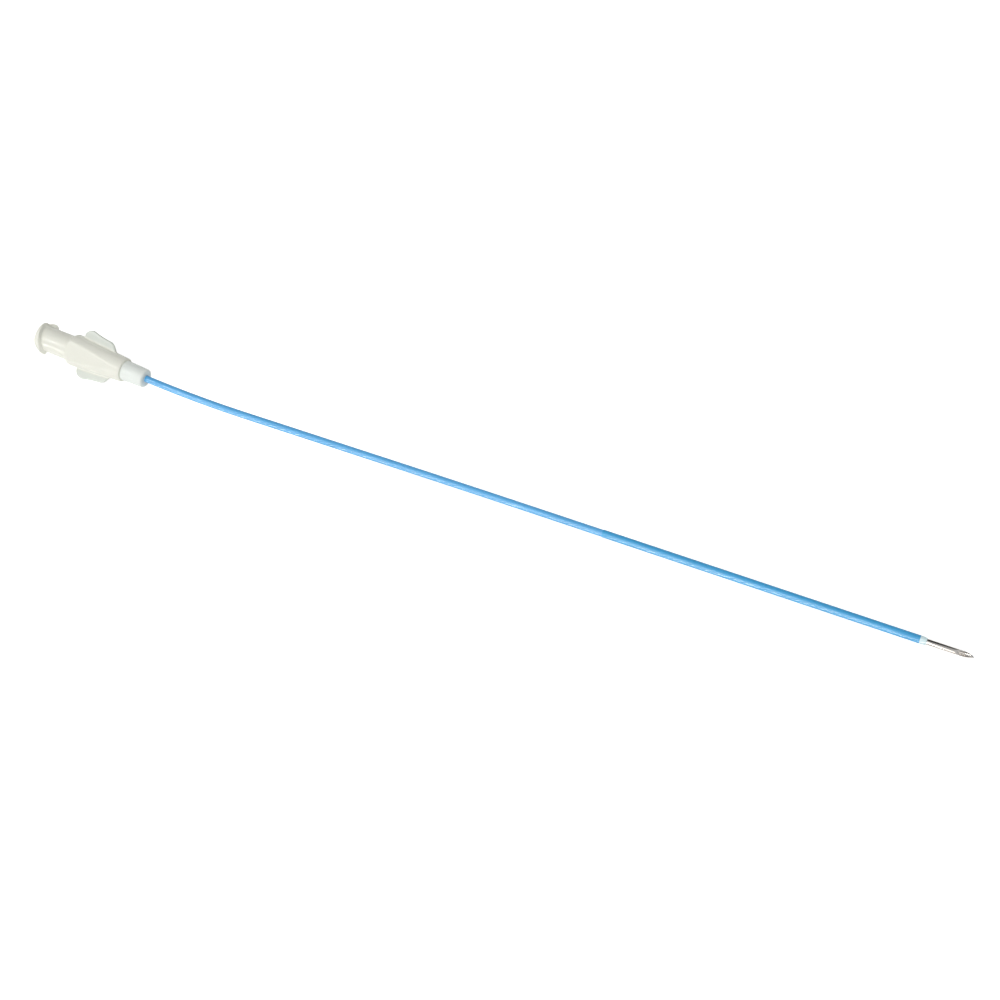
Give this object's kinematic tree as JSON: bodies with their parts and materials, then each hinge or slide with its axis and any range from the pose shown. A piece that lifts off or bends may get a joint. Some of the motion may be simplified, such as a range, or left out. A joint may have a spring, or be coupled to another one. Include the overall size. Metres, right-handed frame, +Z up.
{
  "type": "cystoscopic_injection_needle",
  "caption": "Cystoscopic injection needle: winged Luer-lock hub, long slim blue shaft with a thicker distal sleeve, and a bevelled steel needle, lying on a table",
  "frame": {"origin": "centre of the Luer socket's mouth, on the hub's axis", "axes": "+X along the hub's axis from the Luer mouth towards the needle, +Z up from the table it lies on, right-handed; the table is 3.9 mm below the origin"},
  "size_m": [0.2299, 0.0192, 0.0078],
  "materials": {
    "cream_plastic": "smooth moulded creamy white plastic with a soft shine",
    "white_plastic": "moulded cooler white plastic, satin",
    "blue_tube": "extruded tinted blue polymer tube, shiny",
    "blue_sleeve": "thin stronger blue sleeve shrunk over the tube, shiny",
    "clear_bead": "cloudy white adhesive bead, smooth",
    "needle_steel": "drawn stainless steel tube with ground bevels"
  },
  "bodies": {
    "root": {"luer_fitting": "cream_plastic", "winged_cap": "cream_plastic", "strain_relief": "white_plastic", "shaft_tube": "blue_tube", "distal_sleeve": "blue_sleeve", "tip_collar": "clear_bead", "needle_cannula": "needle_steel"}
  },
  "joints": []
}
